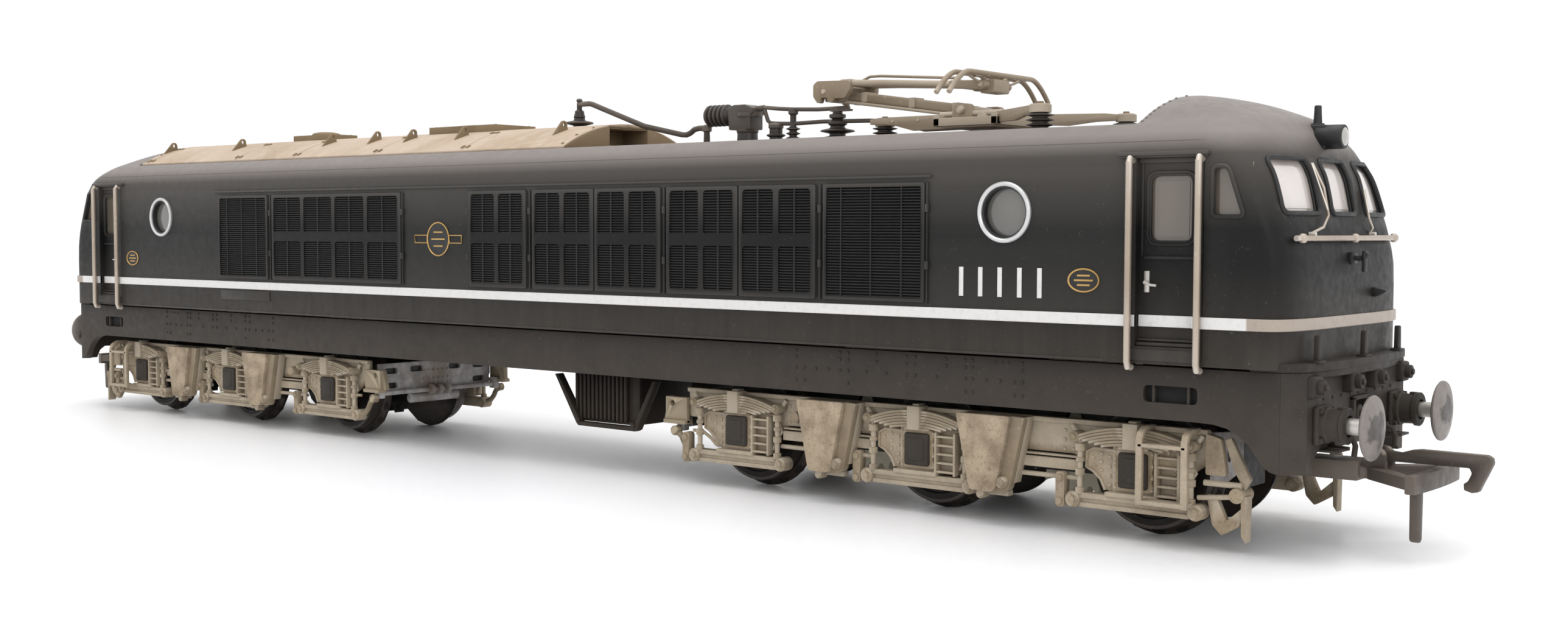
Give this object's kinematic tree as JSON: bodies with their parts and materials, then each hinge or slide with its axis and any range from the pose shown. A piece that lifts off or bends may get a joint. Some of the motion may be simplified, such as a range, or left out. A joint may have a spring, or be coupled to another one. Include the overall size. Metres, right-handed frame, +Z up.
{
  "type": "model electric locomotive",
  "caption": "Scale model electric locomotive with swivelling geared bogies, a motor with flywheels, sprung buffers, hook couplings and a folding single-arm roof current collector.",
  "frame": {"origin": "centre of the base: under mid-length on the centreline, at the level of the flange bottoms", "axes": "+X along the locomotive towards the front cab, +Y to its left side, +Z up"},
  "size_m": [0.2836, 0.0362, 0.0566],
  "materials": {
    "body_paint": "satin, weathered",
    "roof_paint": "matt, weathered",
    "underframe_paint": "matt, weathered",
    "die_cast": "cast",
    "bogie_paint": "matt, weathered",
    "wheel_metal": "chemically blackened",
    "bright_steel": "turned",
    "brass": "turned",
    "gear_plastic": "moulded",
    "porcelain": "weathered",
    "pantograph_metal": "weathered",
    "glazing": "clear",
    "circuit_laminate": "solder-masked",
    "black_plastic": "moulded",
    "motor_can": "plated",
    "copper": "wound",
    "coupling_metal": "weathered"
  },
  "bodies": {
    "locomotive": {"body_shell": "body_paint", "roof_panel": "roof_paint", "solebar_frame": "underframe_paint", "chassis_frame": "die_cast", "front_cab_glazing": "glazing", "rear_cab_glazing": "glazing", "motor_housing": "motor_can", "circuit_board": "circuit_laminate", "right_equipment_box": "underframe_paint", "left_equipment_box": "underframe_paint", "circuit_breaker": "porcelain", "post_insulator_1": "porcelain", "post_insulator_2": "porcelain", "roof_busbar": "pantograph_metal", "roof_lead": "pantograph_metal", "lead_insulator": "porcelain", "pantograph_base": "pantograph_metal", "pantograph_insulator_1": "porcelain", "pantograph_insulator_2": "porcelain", "pantograph_insulator_3": "porcelain", "front_left_buffer_housing": "underframe_paint", "front_right_buffer_housing": "underframe_paint", "rear_left_buffer_housing": "underframe_paint", "rear_right_buffer_housing": "underframe_paint"},
    "rotor": {"motor_armature": "copper", "front_flywheel": "brass", "rear_flywheel": "brass"},
    "front_cardan": {"front_cardan_shaft": "black_plastic"},
    "front_bogie": {"front_bogie_frame": "black_plastic", "front_bogie_left_side": "bogie_paint", "front_bogie_right_side": "bogie_paint"},
    "front_worm": {"front_worm": "brass"},
    "front_worm_gear": {"front_worm_gear": "gear_plastic"},
    "front_inner_idler": {"front_inner_idler": "gear_plastic"},
    "front_inner_wheelset": {"front_inner_wheelset": "wheel_metal"},
    "front_outer_idler": {"front_outer_idler": "gear_plastic"},
    "front_outer_wheelset": {"front_outer_wheelset": "wheel_metal"},
    "front_centre_wheelset": {"front_centre_wheelset": "wheel_metal"},
    "front_left_buffer_head": {"front_left_buffer_head": "bright_steel"},
    "front_right_buffer_head": {"front_right_buffer_head": "bright_steel"},
    "front_coupling": {"front_coupling_bar": "coupling_metal"},
    "front_hook": {"front_coupling_hook": "coupling_metal"},
    "rear_cardan": {"rear_cardan_shaft": "black_plastic"},
    "rear_bogie": {"rear_bogie_frame": "black_plastic", "rear_bogie_left_side": "bogie_paint", "rear_bogie_right_side": "bogie_paint"},
    "rear_worm": {"rear_worm": "brass"},
    "rear_worm_gear": {"rear_worm_gear": "gear_plastic"},
    "rear_inner_idler": {"rear_inner_idler": "gear_plastic"},
    "rear_inner_wheelset": {"rear_inner_wheelset": "wheel_metal"},
    "rear_outer_idler": {"rear_outer_idler": "gear_plastic"},
    "rear_outer_wheelset": {"rear_outer_wheelset": "wheel_metal"},
    "rear_centre_wheelset": {"rear_centre_wheelset": "wheel_metal"},
    "rear_left_buffer_head": {"rear_left_buffer_head": "bright_steel"},
    "rear_right_buffer_head": {"rear_right_buffer_head": "bright_steel"},
    "rear_coupling": {"rear_coupling_bar": "coupling_metal"},
    "rear_hook": {"rear_coupling_hook": "coupling_metal"},
    "pantograph_lower": {"pantograph_lower_arm": "pantograph_metal"},
    "pantograph_upper": {"pantograph_upper_arm": "pantograph_metal"},
    "pantograph_head": {"pantograph_head": "pantograph_metal"}
  },
  "joints": [
    {"name": "rotor_spin", "type": "hinge", "parent": "locomotive", "child": "rotor", "pos_m": [0, 0, 0.02627], "axis": [1, 0, 0], "continuous": true},
    {"name": "front_cardan_spin", "type": "hinge", "parent": "locomotive", "child": "front_cardan", "pos_m": [0.046, 0, 0.02627], "axis": [1, 0, 0], "continuous": true},
    {"name": "front_bogie_swivel", "type": "hinge", "parent": "locomotive", "child": "front_bogie", "pos_m": [0.0765, 0, 0.0183], "axis": [0, 0, 1], "range_deg": [-10, 10]},
    {"name": "front_worm_spin", "type": "hinge", "parent": "front_bogie", "child": "front_worm", "pos_m": [0.0765, 0, 0.02627], "axis": [1, 0, 0], "continuous": true},
    {"name": "front_worm_gear_spin", "type": "hinge", "parent": "front_bogie", "child": "front_worm_gear", "pos_m": [0.0765, 0, 0.01687], "axis": [0, 1, 0], "continuous": true},
    {"name": "front_inner_idler_spin", "type": "hinge", "parent": "front_bogie", "child": "front_inner_idler", "pos_m": [0.06034, 0, 0.01226], "axis": [0, 1, 0], "continuous": true},
    {"name": "front_inner_wheelset_spin", "type": "hinge", "parent": "front_bogie", "child": "front_inner_wheelset", "pos_m": [0.0465, 0, 0.0083], "axis": [0, 1, 0], "continuous": true},
    {"name": "front_outer_idler_spin", "type": "hinge", "parent": "front_bogie", "child": "front_outer_idler", "pos_m": [0.09266, 0, 0.01226], "axis": [0, 1, 0], "continuous": true},
    {"name": "front_outer_wheelset_spin", "type": "hinge", "parent": "front_bogie", "child": "front_outer_wheelset", "pos_m": [0.1065, 0, 0.0083], "axis": [0, 1, 0], "continuous": true},
    {"name": "front_centre_wheelset_spin", "type": "hinge", "parent": "front_bogie", "child": "front_centre_wheelset", "pos_m": [0.0765, 0, 0.0083], "axis": [0, 1, 0], "continuous": true},
    {"name": "front_left_buffer_slide", "type": "slide", "parent": "locomotive", "child": "front_left_buffer_head", "axis": [-1, 0, 0], "range_m": [0, 0.0015], "stiffness_N_per_m": 120},
    {"name": "front_right_buffer_slide", "type": "slide", "parent": "locomotive", "child": "front_right_buffer_head", "axis": [-1, 0, 0], "range_m": [0, 0.0015], "stiffness_N_per_m": 120},
    {"name": "front_coupling_swing", "type": "hinge", "parent": "locomotive", "child": "front_coupling", "pos_m": [0.1195, 0, 0.0088], "axis": [0, 0, 1], "range_deg": [-15, 15]},
    {"name": "front_hook_lift", "type": "hinge", "parent": "front_coupling", "child": "front_hook", "pos_m": [0.1296, 0, 0.0107], "axis": [0, -1, 0], "range_deg": [0, 25]},
    {"name": "rear_cardan_spin", "type": "hinge", "parent": "locomotive", "child": "rear_cardan", "pos_m": [-0.046, 0, 0.02627], "axis": [1, 0, 0], "continuous": true},
    {"name": "rear_bogie_swivel", "type": "hinge", "parent": "locomotive", "child": "rear_bogie", "pos_m": [-0.0765, 0, 0.0183], "axis": [0, 0, 1], "range_deg": [-10, 10]},
    {"name": "rear_worm_spin", "type": "hinge", "parent": "rear_bogie", "child": "rear_worm", "pos_m": [-0.0765, 0, 0.02627], "axis": [1, 0, 0], "continuous": true},
    {"name": "rear_worm_gear_spin", "type": "hinge", "parent": "rear_bogie", "child": "rear_worm_gear", "pos_m": [-0.0765, 0, 0.01687], "axis": [0, 1, 0], "continuous": true},
    {"name": "rear_inner_idler_spin", "type": "hinge", "parent": "rear_bogie", "child": "rear_inner_idler", "pos_m": [-0.06034, 0, 0.01226], "axis": [0, 1, 0], "continuous": true},
    {"name": "rear_inner_wheelset_spin", "type": "hinge", "parent": "rear_bogie", "child": "rear_inner_wheelset", "pos_m": [-0.0465, 0, 0.0083], "axis": [0, 1, 0], "continuous": true},
    {"name": "rear_outer_idler_spin", "type": "hinge", "parent": "rear_bogie", "child": "rear_outer_idler", "pos_m": [-0.09266, 0, 0.01226], "axis": [0, 1, 0], "continuous": true},
    {"name": "rear_outer_wheelset_spin", "type": "hinge", "parent": "rear_bogie", "child": "rear_outer_wheelset", "pos_m": [-0.1065, 0, 0.0083], "axis": [0, 1, 0], "continuous": true},
    {"name": "rear_centre_wheelset_spin", "type": "hinge", "parent": "rear_bogie", "child": "rear_centre_wheelset", "pos_m": [-0.0765, 0, 0.0083], "axis": [0, 1, 0], "continuous": true},
    {"name": "rear_left_buffer_slide", "type": "slide", "parent": "locomotive", "child": "rear_left_buffer_head", "axis": [1, 0, 0], "range_m": [0, 0.0015], "stiffness_N_per_m": 120},
    {"name": "rear_right_buffer_slide", "type": "slide", "parent": "locomotive", "child": "rear_right_buffer_head", "axis": [1, 0, 0], "range_m": [0, 0.0015], "stiffness_N_per_m": 120},
    {"name": "rear_coupling_swing", "type": "hinge", "parent": "locomotive", "child": "rear_coupling", "pos_m": [-0.1195, 0, 0.0088], "axis": [0, 0, 1], "range_deg": [-15, 15]},
    {"name": "rear_hook_lift", "type": "hinge", "parent": "rear_coupling", "child": "rear_hook", "pos_m": [-0.1296, 0, 0.0107], "axis": [0, 1, 0], "range_deg": [0, 25]},
    {"name": "pantograph_raise", "type": "hinge", "parent": "locomotive", "child": "pantograph_lower", "pos_m": [0.076, 0, 0.0514], "axis": [0, 1, 0], "range_deg": [0, 38]},
    {"name": "pantograph_elbow", "type": "hinge", "parent": "pantograph_lower", "child": "pantograph_upper", "pos_m": [0.0528, 0, 0.0549], "axis": [0, -1, 0], "range_deg": [0, 82]},
    {"name": "pantograph_head_level", "type": "hinge", "parent": "pantograph_upper", "child": "pantograph_head", "pos_m": [0.0783, 0, 0.0546], "axis": [0, 1, 0], "range_deg": [0, 44]}
  ],
  "couplings": [
    {"joint": "front_cardan_spin", "follows": "rotor_spin", "ratio": 1},
    {"joint": "front_worm_spin", "follows": "rotor_spin", "ratio": 1},
    {"joint": "front_worm_gear_spin", "follows": "rotor_spin", "ratio": -0.041667},
    {"joint": "front_inner_idler_spin", "follows": "rotor_spin", "ratio": 0.03125},
    {"joint": "front_inner_wheelset_spin", "follows": "rotor_spin", "ratio": -0.0625},
    {"joint": "front_outer_idler_spin", "follows": "rotor_spin", "ratio": 0.03125},
    {"joint": "front_outer_wheelset_spin", "follows": "rotor_spin", "ratio": -0.0625},
    {"joint": "rear_cardan_spin", "follows": "rotor_spin", "ratio": 1},
    {"joint": "rear_worm_spin", "follows": "rotor_spin", "ratio": 1},
    {"joint": "rear_worm_gear_spin", "follows": "rotor_spin", "ratio": -0.041667},
    {"joint": "rear_inner_idler_spin", "follows": "rotor_spin", "ratio": 0.03125},
    {"joint": "rear_inner_wheelset_spin", "follows": "rotor_spin", "ratio": -0.0625},
    {"joint": "rear_outer_idler_spin", "follows": "rotor_spin", "ratio": 0.03125},
    {"joint": "rear_outer_wheelset_spin", "follows": "rotor_spin", "ratio": -0.0625},
    {"joint": "pantograph_elbow", "follows": "pantograph_raise", "ratio": 2.139},
    {"joint": "pantograph_head_level", "follows": "pantograph_raise", "ratio": 1.139}
  ]
}
